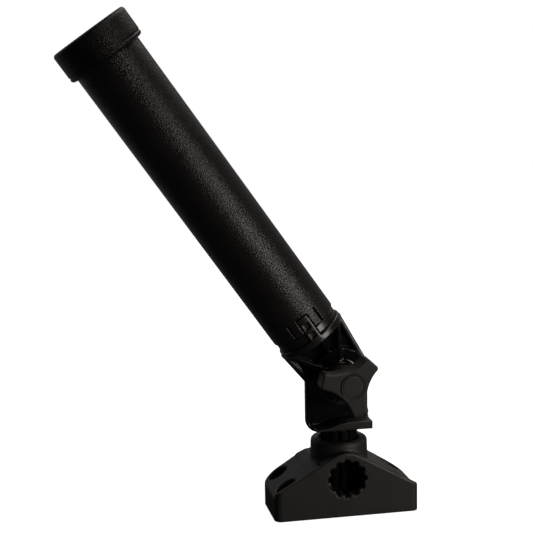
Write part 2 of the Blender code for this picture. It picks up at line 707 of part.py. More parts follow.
black_moulding = material("black_moulding", (0.016, 0.016, 0.015), 0.55)
gloss_moulding = material("gloss_moulding", (0.008, 0.008, 0.009), 0.18)
pebbled_moulding = material("pebbled_moulding", (0.018, 0.016, 0.016), 0.50)
soft_rubber = material("soft_rubber", (0.016, 0.015, 0.015), 0.62)
grey_moulding = material("grey_moulding", (0.024, 0.024, 0.023), 0.48)
rubber = material("rubber", (0.012, 0.012, 0.012), 0.80)
nylon = material("nylon", (0.015, 0.015, 0.016), 0.35)
steel = material("steel", (0.60, 0.60, 0.62), 0.28, 1.0)
brass = material("brass", (0.72, 0.52, 0.22), 0.30, 1.0)

post_frame = add_frame("post_frame", (0, 0, 0))
pivot_frame = add_frame("pivot_frame", (0, 0, PIVOT_Z), parent=post_frame)
knob_frame = add_frame("knob_frame", (0, 0, 0), parent=pivot_frame)
tilt_frame = add_frame("tilt_frame", (0, 0, 0), TUBE_LEAN, pivot_frame)
tube_axis_frame = add_frame("tube_axis_frame", (0, TUBE_Y, 0), parent=tilt_frame)
gear_phase_frame = add_frame("gear_phase_frame", (0, 0, 0), -TUBE_LEAN, tilt_frame)
bpy.context.view_layer.update()

make_mount()
make_bracket(post_frame, pivot_frame)
make_post_ring(post_frame)
make_bolt(pivot_frame)
make_spring(pivot_frame)
make_washer(pivot_frame)
make_adapter(tilt_frame, tube_axis_frame, gear_phase_frame)
make_lock_ring(tube_axis_frame)
make_tube(tube_axis_frame)
make_rim(tube_axis_frame)
make_knob(knob_frame)
make_nut(knob_frame)
make_cap(knob_frame)
bpy.context.view_layer.update()
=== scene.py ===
"""Looks of the tube rod holder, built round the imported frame.

Each moulding is made as a distance field, in millimetres, from the same outlines as the CAD, with
the fillets and rounded edges of a real moulding, then meshed and set on its CAD body.
"""

import math

import bpy
import numpy as np
from mathutils import Matrix, Vector


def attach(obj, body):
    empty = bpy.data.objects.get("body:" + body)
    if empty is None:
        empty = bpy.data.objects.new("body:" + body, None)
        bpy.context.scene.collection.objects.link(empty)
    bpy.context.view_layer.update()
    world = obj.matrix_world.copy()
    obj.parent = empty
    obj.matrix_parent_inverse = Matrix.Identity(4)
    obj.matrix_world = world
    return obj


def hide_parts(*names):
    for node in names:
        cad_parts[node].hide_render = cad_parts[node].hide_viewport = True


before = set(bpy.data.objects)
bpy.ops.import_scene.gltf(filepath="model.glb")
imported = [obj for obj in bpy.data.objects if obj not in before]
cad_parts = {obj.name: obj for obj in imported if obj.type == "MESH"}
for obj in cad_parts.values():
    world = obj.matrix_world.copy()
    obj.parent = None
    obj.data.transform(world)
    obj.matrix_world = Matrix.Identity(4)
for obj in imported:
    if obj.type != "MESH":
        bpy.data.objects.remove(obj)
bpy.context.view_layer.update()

MM = 0.001
COARSE = 1.0

# Sizes that several mouldings share, in millimetres, as in the CAD
PIVOT_Z = 96.6
LEAN = math.radians(34.7)
TUBE_Y = -9.0
SPLINE_TEETH = 12
GEAR_PITCH, GEAR_TOOTH_SLOPE = math.radians(15), 0.105
GEAR_OUTER, GEAR_INNER, GEAR_ROOT, GEAR_SUNK_Y = 17.2, 8.5, 1.4, 1.5
GEAR_FIELD_SCALE = 0.9

MARGIN_CELLS = 2.5
FAR_SQUARED, NO_LENGTH = 1e9, 1e-12


# Distance fields

class Grid:
    """Sample points of a box as three arrays that broadcast together."""

    def __init__(self, low, high, step):
        self.step = step * COARSE
        margin = MARGIN_CELLS * self.step
        self.low = np.array(low, float) - margin
        counts = np.ceil((np.array(high) + margin - self.low) / self.step).astype(int) + 1
        axes = [(self.low[i] + self.step * np.arange(counts[i])).astype(np.float32) for i in range(3)]
        self.x, self.y, self.z = np.meshgrid(*axes, indexing="ij", sparse=True)


def both(a, b, rounding=0.0):
    """The shape inside a and b, with the edge where they meet rounded."""
    if not rounding:
        return np.maximum(a, b)
    return np.minimum(np.maximum(a, b), -rounding) + np.hypot(
        np.maximum(a + rounding, 0), np.maximum(b + rounding, 0)
    )


def either(a, b, fillet=0.0):
    """The shape inside a or b, with a fillet where they meet."""
    return -both(-a, -b, fillet)


def without(a, b, rounding=0.0):
    return both(a, -b, rounding)


def slab(t, low, high):
    return np.abs(t - (low + high) / 2) - (high - low) / 2


def rounded_slab(flat, t, low, high, rounding=0.0):
    """A flat shape's field extruded from low to high."""
    return both(flat, slab(t, low, high), rounding)


def outline_field(points, u, v):
    """Signed distance to a closed outline, negative inside."""
    shape = np.broadcast(u, v).shape
    nearest = np.full(shape, FAR_SQUARED, np.float32)
    inside = np.zeros(shape, bool)
    for (ax, ay), (bx, by) in zip(points, points[1:] + points[:1]):
        ex, ey = bx - ax, by - ay
        if ex * ex + ey * ey < NO_LENGTH:
            continue
        wx, wy = u - ax, v - ay
        t = np.clip((wx * ex + wy * ey) / (ex * ex + ey * ey), 0, 1)
        nearest = np.minimum(nearest, (wx - ex * t) ** 2 + (wy - ey * t) ** 2)
        if ey:
            inside ^= ((ay > v) != (by > v)) & (wx < ex * wy / ey)
    return np.where(inside, -1, 1) * np.sqrt(nearest)


def surface_of(name, field, grid):
    """A closed quad mesh of the field's zero surface, with one point in each cell that it crosses."""
    volume = np.ascontiguousarray(field, np.float32)
    inside = volume < 0
    nx, ny, nz = inside.shape
    corners = [(i, j, k) for i in (0, 1) for j in (0, 1) for k in (0, 1)]
    count = np.zeros((nx - 1, ny - 1, nz - 1), np.int8)
    for i, j, k in corners:
        count += inside[i:nx - 1 + i, j:ny - 1 + j, k:nz - 1 + k]
    cells = np.nonzero((count > 0) & (count < 8))
    index = np.full(count.shape, -1, np.int32)
    index[cells] = np.arange(len(cells[0]))
    values = [volume[cells[0] + i, cells[1] + j, cells[2] + k] for i, j, k in corners]
    total = np.zeros((len(cells[0]), 3))
    crossings = np.zeros(len(cells[0]))
    for a, first in enumerate(corners):
        for b in range(a + 1, 8):
            step = np.subtract(corners[b], first)
            if np.abs(step).sum() != 1:
                continue
            crossed = (values[a] < 0) != (values[b] < 0)
            va, vb = values[a][crossed], values[b][crossed]
            total[crossed] += np.array(first) + (va / (va - vb))[:, None] * step
            crossings[crossed] += 1
    points = (np.stack(cells, 1) + total / crossings[:, None]) * grid.step + grid.low
    faces = []
    for axis in range(3):
        b, c = (axis + 1) % 3, (axis + 2) % 3
        lower, upper = [slice(None)] * 3, [slice(None)] * 3
        lower[axis], upper[axis] = slice(0, -1), slice(1, None)
        change = inside[tuple(upper)].astype(np.int8) - inside[tuple(lower)].astype(np.int8)
        at = np.array(np.nonzero(change)).T
        sign = change[tuple(at.T)]
        ring = []
        for db, dc in ((-1, -1), (0, -1), (0, 0), (-1, 0)):
            cell = at.copy()
            cell[:, b] += db
            cell[:, c] += dc
            ring.append(index[tuple(cell.T)])
        quads = np.stack(ring, 1)
        quads[sign > 0] = quads[sign > 0][:, ::-1]
        faces.append(quads)
    return mesh_from(name, points * MM, np.concatenate(faces))


def mesh_from(name, points, quads):
    mesh = bpy.data.meshes.new(name)
    mesh.vertices.add(len(points))
    mesh.vertices.foreach_set("co", points.astype(np.float32).ravel())
    mesh.loops.add(quads.size)
    mesh.loops.foreach_set("vertex_index", quads.astype(np.int32).ravel())
    mesh.polygons.add(len(quads))
    mesh.polygons.foreach_set("loop_start", np.arange(0, quads.size, 4, dtype=np.int32))
    mesh.update(calc_edges=True)
    mesh.validate()
    mesh.shade_smooth()
    return mesh


def piece(name, field, grid, material, body, node, place=None, keep=0.5):
    """Meshes a field, keeps a share of its faces and sets it on its body in place of a CAD node."""
    obj = bpy.data.objects.new(name, surface_of(name, field, grid))
    bpy.context.scene.collection.objects.link(obj)
    if keep < 1:
        thin = obj.modifiers.new("thin", "DECIMATE")
        thin.ratio = keep
        graph = bpy.context.evaluated_depsgraph_get()
        mesh = bpy.data.meshes.new_from_object(obj.evaluated_get(graph))
        obj.modifiers.clear()
        obj.data = mesh
        mesh.shade_smooth()
    if place is not None:
        obj.data.transform(place)
    obj.data.materials.clear()
    obj.data.materials.append(material)
    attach(obj, body)
    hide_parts(node)
    return obj


def face_centres(obj):
    """The middle of each face, in millimetres."""
    centres = np.empty(3 * len(obj.data.polygons))
    obj.data.polygons.foreach_get("center", centres)
    return centres.reshape(-1, 3) / MM


def other_materials(obj, *finishes):
    """Gives further finishes, each to the faces where its flags are true."""
    index = np.zeros(len(obj.data.polygons), np.int32)
    for material, faces in finishes:
        index[faces] = len(obj.data.materials)
        obj.data.materials.append(material)
    obj.data.polygons.foreach_set("material_index", index)


# Places of the moving frames, in metres

pivot_place = Matrix.Translation((0, 0, PIVOT_Z * MM))
tilt_place = pivot_place @ Matrix.Rotation(-LEAN, 4, "Y")
tube_place = tilt_place @ Matrix.Translation((0, TUBE_Y * MM, 0))


# Outlines

def arc(centre, radius, start, end, steps):
    return [
        (
            centre[0] + radius * math.cos(start + (end - start) * i / steps),
            centre[1] + radius * math.sin(start + (end - start) * i / steps),
        )
        for i in range(steps + 1)
    ]


def hexagon(across_flats):
    return arc((0, 0), across_flats / math.sqrt(3), 0, 2 * math.pi, 6)[:-1]


def spline_outline(tip, root):
    pitch, flank = 2 * math.pi / SPLINE_TEETH, 0.30
    foot, crest = 0.5 - flank / 2, 0.5 - flank
    shares = ((-foot, root), (-crest, tip), (0.0, tip), (crest, tip), (foot, root))
    return [
        (radius * math.cos((tooth + share) * pitch), radius * math.sin((tooth + share) * pitch))
        for tooth in range(SPLINE_TEETH)
        for share, radius in shares
    ]


def sector(inner, outer, middle, half_angle, steps=8):
    start, end = middle - math.pi / 2 - half_angle, middle - math.pi / 2 + half_angle
    return arc((0, 0), outer, start, end, steps) + arc((0, 0), inner, end, start, steps)


def mirrored(points):
    """The points, then their mirror images across u = 0. The last point is on the middle line."""
    return points + [(-u, v) for u, v in reversed(points[:-1])]


# The face gear and other fields that more than one moulding shares

def gear_height(u, v):
    """How far the face gear's teeth stand out, a zigzag round the axis that grows with the radius."""
    share = np.abs(((np.arctan2(v, u) / GEAR_PITCH) % 1.0) - 0.5) * 2
    return GEAR_TOOTH_SLOPE * np.hypot(u, v) * share


def gear_zone(r, y, teeth, ease=0.0):
    """The ring of teeth in front of the plate, grown all round by ease."""
    ring = both(r - GEAR_OUTER - ease, GEAR_INNER - ease - r)
    return both(ring, -y - GEAR_ROOT - ease - teeth) * GEAR_FIELD_SCALE


def cone(r, t, radius, start, slope):
    """A cone with its radius at t = start, and its growth for each millimetre of t."""
    return (r - radius - (t - start) * slope) / math.hypot(1, slope)


# Deck mount

MOUNT_HALF_LENGTH, MOUNT_FRONT, MOUNT_REAR, MOUNT_END_HEIGHT = 51.3, -25.5, 24.5, 19.3
FRONT_CORNER, REAR_CORNER, CORNER_STEPS = 5.5, 12.0, 8
PAST_END, BELOW = 4.0, -5.0
LIP_REAR, WINGS_FRONT, WINGS_REAR = -20.5, -22.5, 30.0
HUMP_RADIUS, HUMP_STEPS = 18.5, 20
WING_TOP = [(MOUNT_HALF_LENGTH + PAST_END, 13.9), (27.2, 31.3), (25.6, 33.1), (19.5, 35.9), (0, 38.5)]
COLLAR_RADIUS, COLLAR_FROM, COLLAR_TOP, COLLAR_DRAFT_FROM, COLLAR_DRAFT = 20.2, 12.0, 50.9, 38.0, 0.03
BARREL_RADIUS, BARREL_REAR = 17.8, 23.5
SOCKET_TIP, SOCKET_ROOT, SOCKET_FLOOR = 13.6, 12.0, 3.5
SIDE_SOCKET_Z, SIDE_SOCKET_EASE = 27.1, 0.1
MOUTH_RADIUS, MOUTH_START, MOUTH_SLOPE, MOUTH_FROM = 13.4, 48.4, 0.55, 40.0
BOLT_X, BOLT_Y, BOLT_HOLE_RADIUS, BOLT_SEAT_RADIUS, BOLT_SEAT_Z = 41.3, 14.3, 3.3, 6.6, 8.5
POCKET_INNER_X, POCKET_OUTER_X, POCKET_HALF_DEPTH, POCKET_TOP = 18.5, 32.5, 18.5, 10.0
DRAIN_Y, DRAIN_RADIUS, DRAIN_TOP = -8.8, 2.0, 6.0


def lip_outline():
    """The front lip: sloping shoulders that run tangent into the hump round the side socket."""
    drop = MOUNT_END_HEIGHT - SIDE_SOCKET_Z
    reach = math.hypot(MOUNT_HALF_LENGTH, drop)
    start = math.atan2(drop, MOUNT_HALF_LENGTH) + math.acos(HUMP_RADIUS / reach)
    hump = arc((0, SIDE_SOCKET_Z), HUMP_RADIUS, start, math.pi - start, HUMP_STEPS)
    side, end = MOUNT_HALF_LENGTH + PAST_END, MOUNT_END_HEIGHT - PAST_END / math.tan(start)
    return [(side, BELOW), (side, end)] + hump + [(-side, end), (-side, BELOW)]


def mount_plan():
    right, left = MOUNT_HALF_LENGTH, -MOUNT_HALF_LENGTH
    plan = []
    for x, y, radius, quarter in (
        (left + FRONT_CORNER, MOUNT_FRONT + FRONT_CORNER, FRONT_CORNER, 2),
        (right - FRONT_CORNER, MOUNT_FRONT + FRONT_CORNER, FRONT_CORNER, 3),
        (right - REAR_CORNER, MOUNT_REAR - REAR_CORNER, REAR_CORNER, 0),
        (left + REAR_CORNER, MOUNT_REAR - REAR_CORNER, REAR_CORNER, 1),
    ):
        plan += arc((x, y), radius, quarter * math.pi / 2, (quarter + 1) * math.pi / 2, CORNER_STEPS)
    return plan


def build_mount(material):
    grid = Grid((-MOUNT_HALF_LENGTH, MOUNT_FRONT, 0), (MOUNT_HALF_LENGTH, MOUNT_REAR, COLLAR_TOP), 0.5)
    x, y, z = grid.x, grid.y, grid.z
    r, side_r = np.hypot(x, y), np.hypot(x, z - SIDE_SOCKET_Z)
    lip = rounded_slab(outline_field(lip_outline(), x, z), y, MOUNT_FRONT, LIP_REAR, 1.7)
    wing = outline_field(mirrored([(WING_TOP[0][0], BELOW)] + WING_TOP), x, z)
    body = either(lip, rounded_slab(wing, y, WINGS_FRONT, WINGS_REAR, 0.8), fillet=0.7)
    body = both(body, outline_field(mount_plan(), x, y), rounding=1.1)
    body = both(body, -z, rounding=0.2)
    collar = cone(r, z, COLLAR_RADIUS, COLLAR_DRAFT_FROM, -COLLAR_DRAFT)
    collar = rounded_slab(collar, z, COLLAR_FROM, COLLAR_TOP, 2.4)
    barrel = rounded_slab(side_r - BARREL_RADIUS, y, WINGS_FRONT, BARREL_REAR, 1.2)
    body = either(either(body, barrel, fillet=1.5), collar, fillet=1.3)
    socket = outline_field(spline_outline(SOCKET_TIP, SOCKET_ROOT), x, y)
    body = without(body, both(socket, SOCKET_FLOOR - z), rounding=0.45)
    mouth = cone(r, z, MOUTH_RADIUS, MOUTH_START, MOUTH_SLOPE)
    body = without(body, both(mouth, MOUTH_FROM - z), rounding=0.3)
    side_spline = spline_outline(SOCKET_TIP + SIDE_SOCKET_EASE, SOCKET_ROOT + SIDE_SOCKET_EASE)
    body = without(body, outline_field(side_spline, x, z - SIDE_SOCKET_Z), rounding=0.5)
    for side in (-1, 1):
        for end in (-1, 1):
            hole = np.hypot(x - side * BOLT_X, y - end * BOLT_Y)
            body = without(body, both(hole - BOLT_SEAT_RADIUS, BOLT_SEAT_Z - z), rounding=0.5)
            body = without(body, hole - BOLT_HOLE_RADIUS, rounding=0.3)
        across = slab(x, *sorted((side * POCKET_INNER_X, side * POCKET_OUTER_X)))
        pocket = both(across, slab(y, -POCKET_HALF_DEPTH, POCKET_HALF_DEPTH), rounding=2.0)
        body = without(body, both(pocket, z - POCKET_TOP, rounding=1.5), rounding=0.4)
    drain = both(np.hypot(x, y - DRAIN_Y) - DRAIN_RADIUS, slab(z, BELOW, DRAIN_TOP))
    body = without(body, drain, rounding=0.3)
    return piece("mount_body", body, grid, material, "mount", "mount_base", keep=0.4)


# Post and bracket

PLATE_LEFT, PLATE_RIGHT, PLATE_BOTTOM, PLATE_CORNER = -23.4, 21.2, 54.8, 9.0
PLATE_FRONT, PLATE_REAR, PLATE_BORDER, PLATE_RECESS_Y = -1.0, 4.6, 1.4, 0.2
LEDGE_LEFT, LEDGE_THICK_FROM, LEDGE_BOTTOM, LEDGE_TOP, LEDGE_DROP = -19.0, 5.0, 58.6, 64.4, 4.4
LEDGE_FRONT, LEDGE_REAR, LEDGE_STEPS = -14.0, 2.0, 12
FLANGE_RADIUS, FLANGE_TOP, FLANGE_FROM_Y = 15.0, 63.1, 3.6
GUSSET_X, GUSSET_HALF_WIDTH, GUSSET_FROM_Y, GUSSET_FROM_Z = 8.5, 1.4, 3.0, 60.6
GUSSET_EDGE_Y, GUSSET_EDGE_Z, GUSSET_SLOPE = 11.0, 63.1, (0.937, 0.35)
BOSS_RADIUS, BOSS_FROM_Y, BOSS_REAR = 11.5, 2.6, 10.4
POST_TIP, POST_ROOT, POST_FOOT, POST_TOP = 13.3, 11.7, 4.2, 59.6
POST_LEAD_RADIUS, POST_LEAD_SLOPE = 11.9, 0.6
RING_GROOVE_RADIUS, RING_GROOVE_LOW, RING_GROOVE_HIGH = 9.0, 8.6, 11.4
BOLT_HEAD_ACROSS_FLATS, BOLT_HEAD_Y = 13.3, 5.2
SPRING_POCKET_RADIUS, SPRING_SEAT_Y, PIVOT_BORE_RADIUS = 7.2, 1.2, 4.3
POST_CORE_RADIUS, POST_CORE_TOP = 6.2, 55.6
LEDGE_FINISH_REAR, LEDGE_FINISH_TOP, POST_FINISH_TOP = -3.0, 66.0, 57.6


def plate_outline(inset=0.0):
    left, right, low = PLATE_LEFT + inset, PLATE_RIGHT - inset, PLATE_BOTTOM + inset
    corner = PLATE_CORNER - inset
    top = arc(((left + right) / 2, PIVOT_Z), (right - left) / 2, 0.0, math.pi, 32)
    return top + arc((left + corner, low + corner), corner, math.pi, 1.5 * math.pi, 8) + [(right, low)]


def ledge_outline():
    top = []
    for i in range(LEDGE_STEPS + 1):
        share = i / LEDGE_STEPS
        ease = (1 - math.cos(math.pi * share)) / 2
        x = LEDGE_THICK_FROM + (LEDGE_LEFT - LEDGE_THICK_FROM) * share
        top.append((x, LEDGE_TOP - LEDGE_DROP * ease))
    return [(LEDGE_LEFT, LEDGE_BOTTOM), (PLATE_RIGHT, LEDGE_BOTTOM), (PLATE_RIGHT, LEDGE_TOP)] + top


def build_bracket(material, ledge_painted_lit_material, post_material):
    grid = Grid((PLATE_LEFT, -14.6, POST_FOOT), (PLATE_RIGHT, 15.2, 118.9), 0.4)
    x, y, z = grid.x, grid.y, grid.z
    r, pivot_r = np.hypot(x, y), np.hypot(x, z - PIVOT_Z)
    body = rounded_slab(outline_field(plate_outline(), x, z), y, PLATE_FRONT, PLATE_REAR, 0.9)
    recess = both(outline_field(plate_outline(PLATE_BORDER), x, z), y - PLATE_RECESS_Y, rounding=0.3)
    body = without(body, recess, rounding=0.4)
    ledge = rounded_slab(outline_field(ledge_outline(), x, z), y, LEDGE_FRONT, LEDGE_REAR, 0.5)
    body = either(body, ledge, fillet=2.2)
    flange = rounded_slab(r - FLANGE_RADIUS, z, LEDGE_BOTTOM, FLANGE_TOP, 0.8)
    body = either(body, both(flange, FLANGE_FROM_Y - y), fillet=1.2)
    slope = (y - GUSSET_EDGE_Y) * GUSSET_SLOPE[0] + (z - GUSSET_EDGE_Z) * GUSSET_SLOPE[1]
    for side in (-1, 1):
        middle = side * GUSSET_X
        gusset = both(slab(x, middle - GUSSET_HALF_WIDTH, middle + GUSSET_HALF_WIDTH), slope, rounding=0.6)
        body = either(body, both(gusset, both(GUSSET_FROM_Y - y, GUSSET_FROM_Z - z)), fillet=0.8)
    body = either(body, rounded_slab(pivot_r - BOSS_RADIUS, y, BOSS_FROM_Y, BOSS_REAR, 1.0), fillet=1.2)
    post = outline_field(spline_outline(POST_TIP, POST_ROOT), x, y)
    post = rounded_slab(post, z, POST_FOOT, POST_TOP, 0.7)
    post = both(post, cone(r, z, POST_LEAD_RADIUS, POST_FOOT, POST_LEAD_SLOPE))
    body = either(body, post, fillet=0.5)
    groove = both(RING_GROOVE_RADIUS - r, slab(z, RING_GROOVE_LOW, RING_GROOVE_HIGH))
    body = without(body, groove, rounding=0.2)
    teeth = gear_zone(pivot_r, y, gear_height(x, z - PIVOT_Z))
    body = either(body, both(teeth, y - GEAR_SUNK_Y), fillet=0.15)
    head = outline_field(hexagon(BOLT_HEAD_ACROSS_FLATS), x, z - PIVOT_Z)
    body = without(body, both(head, BOLT_HEAD_Y - y), rounding=0.3)
    body = without(body, both(pivot_r - SPRING_POCKET_RADIUS, y - SPRING_SEAT_Y), rounding=0.2)
    body = without(body, pivot_r - PIVOT_BORE_RADIUS, rounding=0.2)
    body = without(body, both(r - POST_CORE_RADIUS, z - POST_CORE_TOP), rounding=0.3)
    obj = piece("bracket_moulding", body, grid, material, "bracket", "post_bracket", keep=0.45)
    _, middle_y, middle_z = face_centres(obj).T
    # Painted light, in part: the ledge's faces take a lighter satin than the plate. This is partly the
    # ledge's matte finish and partly the light it catches while the plate lies in shade.
    on_ledge = (middle_y < LEDGE_FINISH_REAR) & (middle_z < LEDGE_FINISH_TOP)
    other_materials(obj, (ledge_painted_lit_material, on_ledge), (post_material, middle_z < POST_FINISH_TOP))


# Tube adapter, in the tilting frame: a across, y back, b up along the tube

PADDLE_RADIUS, PADDLE_TOP, PADDLE_TAPER, PADDLE_BORDER = 21.4, 36.5, math.radians(5.3), 3.6
PADDLE_FRONT, PADDLE_REAR, PADDLE_POCKET_Y, PADDLE_POCKET_INNER = -9.5, -1.5, -5.5, 20.0
RIB_ANGLE, RIB_HALF_WIDTH, RIB_ALONG, RIB_Y = math.radians(31.6), 1.6, (9.0, 39.5), (-10.5, -4.5)
ADAPTER_COLLAR_RADIUS, ADAPTER_COLLAR = 24.3, (35.5, 40.4)
SPIGOT_RADIUS, SPIGOT, SPIGOT_BORE_RADIUS, SPIGOT_BORE_FROM = 20.2, (38.0, 66.0), 17.2, 43.0
KEY_HALF_ANGLE, KEY, KEY_INNER, KEY_FLOOR_RADIUS = 4.1 / 24.3, (38.4, 57.8), 18.0, 22.6
KEY_WINDOWS = ((48.5, 53.1, -5.6, 4.5), (41.3, 46.0, -5.4, 4.0))    # low, high, and from and to in degrees
KEY_MM_PER_DEGREE = 0.42
BRACE, BRACE_A = [(-7.5, 19.0), (-7.5, 36.5), (-30.3, 36.5), (-12.5, 19.0)], (0.6, 3.8)
HUB_RADIUS, HUB_Y = 11.0, (-13.5, -7.5)
GEAR_EASE = 0.3
SPIGOT_DRAIN_A, SPIGOT_DRAIN_Y, SPIGOT_DRAIN_RADIUS, SPIGOT_DRAIN = 11, -11.0, 2.0, (30.5, 48.0)
# Where the adapter's collar finish starts, and how far the painted-light border strip reaches into the
# pocket
COLLAR_FINISH_FROM, BORDER_PAINTED_LIGHT_EASE = 35.0, 0.2


def paddle_outline(inset=0.0):
    radius = PADDLE_RADIUS - inset
    half_top = radius / math.cos(PADDLE_TAPER) + PADDLE_TOP * math.tan(PADDLE_TAPER)
    bottom = arc((0, 0), radius, -PADDLE_TAPER, -math.pi + PADDLE_TAPER, 32)
    return [(half_top, PADDLE_TOP)] + bottom + [(-half_top, PADDLE_TOP)]


def build_adapter(material, collar_finish_and_painted_light_material):
    grid = Grid((-25.2, -33.4, -21.6), (25.2, 15.4, 66.0), 0.45)
    a, y, b = grid.x, grid.y, grid.z
    pivot_r, tube_r = np.hypot(a, b), np.hypot(a, y - TUBE_Y)
    body = rounded_slab(outline_field(paddle_outline(), a, b), y, PADDLE_FRONT, PADDLE_REAR, 1.6)
    pocket = both(outline_field(paddle_outline(PADDLE_BORDER), a, b), y - PADDLE_POCKET_Y, rounding=0.8)
    pocket = without(pocket, pivot_r - PADDLE_POCKET_INNER, rounding=1.2)
    body = without(body, pocket, rounding=0.8)
    for side in (-1, 1):
        c, s = math.cos(side * RIB_ANGLE), math.sin(side * RIB_ANGLE)
        rib = both(slab(a * c - b * s, -RIB_HALF_WIDTH, RIB_HALF_WIDTH), slab(a * s + b * c, *RIB_ALONG))
        body = either(body, both(rib, slab(y, *RIB_Y), rounding=0.7), fillet=0.6)
    collar = rounded_slab(tube_r - ADAPTER_COLLAR_RADIUS, b, *ADAPTER_COLLAR, 0.9)
    body = either(body, collar, fillet=1.6)
    body = either(body, rounded_slab(tube_r - SPIGOT_RADIUS, b, *SPIGOT, 0.6))
    key = sector(KEY_INNER, ADAPTER_COLLAR_RADIUS, 0.0, KEY_HALF_ANGLE)
    key = rounded_slab(outline_field(key, a, y - TUBE_Y), b, *KEY, 0.5)
    around = np.degrees(np.arctan2(a, TUBE_Y - y))
    for low, high, start, end in KEY_WINDOWS:
        window = both(slab(b, low, high), slab(around, start, end) * KEY_MM_PER_DEGREE, rounding=0.2)
        key = without(key, both(window, KEY_FLOOR_RADIUS - tube_r), rounding=0.25)
    body = either(body, key, fillet=0.25)
    body = either(body, rounded_slab(outline_field(BRACE, y, b), a, *BRACE_A, 0.7), fillet=0.8)
    body = either(body, rounded_slab(pivot_r - HUB_RADIUS, y, *HUB_Y, 0.8), fillet=1.6)
    body = without(body, both(tube_r - SPIGOT_BORE_RADIUS, SPIGOT_BORE_FROM - b), rounding=0.4)
    c, s = math.cos(LEAN), math.sin(LEAN)
    teeth = gear_zone(pivot_r, y, gear_height(a * c - b * s, a * s + b * c), GEAR_EASE)
    body = without(body, teeth, rounding=0.15)
    body = without(body, both(pivot_r - SPRING_POCKET_RADIUS, PADDLE_POCKET_Y - y), rounding=0.3)
    body = without(body, pivot_r - PIVOT_BORE_RADIUS, rounding=0.3)
    for side in (-SPIGOT_DRAIN_A, SPIGOT_DRAIN_A):
        drain = np.hypot(a - side, y - TUBE_Y - SPIGOT_DRAIN_Y) - SPIGOT_DRAIN_RADIUS
        body = without(body, both(drain, slab(b, *SPIGOT_DRAIN)), rounding=0.3)
    obj = piece("adapter_moulding", body, grid, material, "tube", "tube_adapter", tilt_place, keep=0.45)
    centres = face_centres(obj) - (0, 0, PIVOT_Z)
    across, up_tube = centres @ (c, 0, s), centres @ (-s, 0, c)
    # Painted light: the paddle's border faces take the lighter collar finish, standing in for the light on
    # its flanks. The collar faces take it as their glossier finish.
    border = outline_field(paddle_outline(PADDLE_BORDER), across, up_tube) > -BORDER_PAINTED_LIGHT_EASE
    other_materials(obj, (collar_finish_and_painted_light_material, (up_tube > COLLAR_FINISH_FROM) | border))


# Tube, its lock ring and its rim, along the tube from the pivot

TUBE_RADIUS, TUBE_BORE_RADIUS, TUBE_START, TUBE_END = 23.9, 20.6, 46.8, 285.8
LOCK_RING_RADIUS, LOCK_RING_BORE_RADIUS, LOCK_RING = 22.9, 20.5, (40.7, 46.5)
KEY_GAP = sector(14.0, 30.0, 0.0, 4.4 / 24 + 0.004)
NOTCH_TOP = 58.1
SLIT_ANGLE, SLIT_TOP, SLIT_HALF_WIDTH = math.radians(27.5), 57.3, 0.55
RIM_RADIUS, RIM = 27.8, (268.0, 289.4)
RIM_MOUTH_RADIUS, RIM_MOUTH_FROM = 24.2, 286.1
RIM_GROOVE_RADIUS, RIM_GROOVE = 27.3, (270.8, 271.8)


def build_lock_ring(material):
    grid = Grid((-23, -23, LOCK_RING[0]), (23, 23, LOCK_RING[1]), 0.4)
    x, y, z = grid.x, grid.y, grid.z
    r = np.hypot(x, y)
    ring = rounded_slab(r - LOCK_RING_RADIUS, z, *LOCK_RING, 0.7)
    ring = both(ring, LOCK_RING_BORE_RADIUS - r, rounding=0.4)
    ring = without(ring, outline_field(KEY_GAP, x, y), rounding=0.4)
    return piece("lock_ring", ring, grid, material, "tube", "tube_lock_ring", tube_place)


def build_tube(material):
    grid = Grid((-TUBE_RADIUS, -TUBE_RADIUS, TUBE_START), (TUBE_RADIUS, TUBE_RADIUS, TUBE_END), 0.6)
    x, y, z = grid.x, grid.y, grid.z
    r = np.hypot(x, y)
    tube = rounded_slab(r - TUBE_RADIUS, z, TUBE_START, TUBE_END, 0.6)
    tube = both(tube, TUBE_BORE_RADIUS - r, rounding=0.4)
    notch = both(outline_field(KEY_GAP, x, y), z - NOTCH_TOP, rounding=0.6)
    tube = without(tube, notch, rounding=0.3)
    around = np.arctan2(x, -y)
    for side in (-1, 1):
        across = (around - side * SLIT_ANGLE) * TUBE_RADIUS
        slit = np.hypot(across, np.maximum(z - SLIT_TOP, 0)) - SLIT_HALF_WIDTH
        tube = without(tube, both(slit, y), rounding=0.15)
    return piece("tube_shell", tube, grid, material, "tube", "rod_tube", tube_place, keep=0.4)


def build_rim(material):
    grid = Grid((-RIM_RADIUS, -RIM_RADIUS, RIM[0]), (RIM_RADIUS, RIM_RADIUS, RIM[1]), 0.45)
    x, y, z = grid.x, grid.y, grid.z
    r = np.hypot(x, y)
    rim = rounded_slab(r - RIM_RADIUS, z, *RIM, 2.3)
    rim = both(rim, TUBE_BORE_RADIUS - r, rounding=1.2)
    rim = without(rim, both(r - RIM_MOUTH_RADIUS, z - RIM_MOUTH_FROM), rounding=0.4)
    rim = without(rim, both(RIM_GROOVE_RADIUS - r, slab(z, *RIM_GROOVE)), rounding=0.3)
    return piece("rim_cap", rim, grid, material, "tube", "tube_rim", tube_place)


# Knob and its disc, round the pivot

